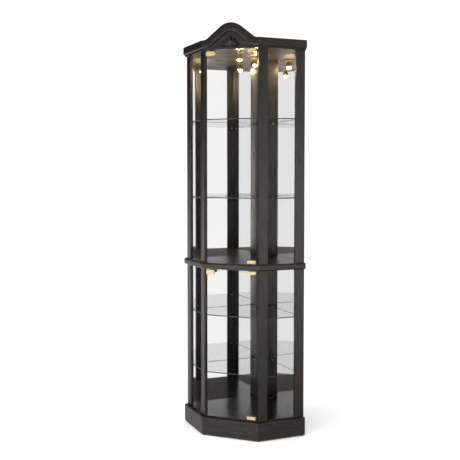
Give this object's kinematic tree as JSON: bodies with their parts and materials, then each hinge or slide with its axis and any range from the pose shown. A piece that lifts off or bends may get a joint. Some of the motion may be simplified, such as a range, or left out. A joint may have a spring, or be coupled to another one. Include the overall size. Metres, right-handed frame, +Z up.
{
  "type": "curio cabinet",
  "caption": "Tall lighted corner curio cabinet with glass doors and sides, mirrored back, glass shelves and arched crest.",
  "frame": {"origin": "on the floor, at the middle of the cabinet's bounding box", "axes": "+Z up, +X to the right of someone facing the doors, +Y towards the room corner that the cabinet stands in; the doors face -Y"},
  "size_m": [0.6326, 0.4892, 1.935],
  "materials": {
    "black_wood": "satin black lacquer over fine straight grain",
    "clear_glass": "clear float glass, polished edges",
    "mirror_glass": "silvered",
    "brass": "polished",
    "black_plastic": "moulded",
    "pin_steel": "nickel plated",
    "panel_board": "dark hardboard",
    "lamp_lens": "frosted, lit"
  },
  "bodies": {
    "cabinet": {"bottom_deck": "black_wood", "ceiling_panel": "black_wood", "cord_grommet": "black_plastic", "cornice_left": "black_wood", "cornice_right": "black_wood", "crest_arch": "black_wood", "crest_carving": "black_wood", "crest_tympanum": "black_wood", "floor_glides": "black_plastic", "hinge_bushings": "brass", "lamp_housings": "brass", "lamp_lenses": "lamp_lens", "latch_housings": "black_plastic", "lower_back_panel_left": "panel_board", "lower_back_panel_right": "panel_board", "lower_corner_post": "black_wood", "lower_front_post_left": "black_wood", "lower_front_post_right": "black_wood", "lower_mirror_left": "mirror_glass", "lower_mirror_right": "mirror_glass", "lower_rear_post_left": "black_wood", "lower_rear_post_right": "black_wood", "lower_shelf_high_glass": "clear_glass", "lower_shelf_low_glass": "clear_glass", "lower_side_glass_left": "clear_glass", "lower_side_glass_right": "clear_glass", "plinth_corner_blocks": "black_wood", "plinth_front_board": "black_wood", "plinth_left_board": "black_wood", "plinth_rear_rails": "black_wood", "plinth_right_board": "black_wood", "shelf_supports": "pin_steel", "top_board": "black_wood", "top_rear_rails": "black_wood", "upper_back_panel_left": "panel_board", "upper_back_panel_right": "panel_board", "upper_corner_post": "black_wood", "upper_front_post_left": "black_wood", "upper_front_post_right": "black_wood", "upper_mirror_left": "mirror_glass", "upper_mirror_right": "mirror_glass", "upper_rear_post_left": "black_wood", "upper_rear_post_right": "black_wood", "upper_shelf_high_glass": "clear_glass", "upper_shelf_low_glass": "clear_glass", "upper_side_glass_left": "clear_glass", "upper_side_glass_right": "clear_glass", "waist_board": "black_wood"},
    "upper_door": {"upper_door_glass": "clear_glass", "upper_hinge_clamps": "brass", "upper_pivot_pins": "brass", "upper_strike_plate": "brass"},
    "lower_door": {"lower_door_glass": "clear_glass", "lower_hinge_clamps": "brass", "lower_pivot_pins": "brass", "lower_strike_plate": "brass"},
    "upper_latch": {"upper_latch_plunger": "black_plastic"},
    "lower_latch": {"lower_latch_plunger": "black_plastic"}
  },
  "joints": [
    {"name": "upper_door_hinge", "type": "hinge", "parent": "cabinet", "child": "upper_door", "pos_m": [0.117, -0.22258, 1.32], "axis": [0, 0, 1], "range_deg": [0, 100]},
    {"name": "upper_latch_press", "type": "slide", "parent": "cabinet", "child": "upper_latch", "axis": [0, 1, 0], "range_m": [0, 0.003], "stiffness_N_per_m": 300},
    {"name": "lower_door_hinge", "type": "hinge", "parent": "cabinet", "child": "lower_door", "pos_m": [0.117, -0.22258, 0.4445], "axis": [0, 0, 1], "range_deg": [0, 100]},
    {"name": "lower_latch_press", "type": "slide", "parent": "cabinet", "child": "lower_latch", "axis": [0, 1, 0], "range_m": [0, 0.003], "stiffness_N_per_m": 300}
  ]
}
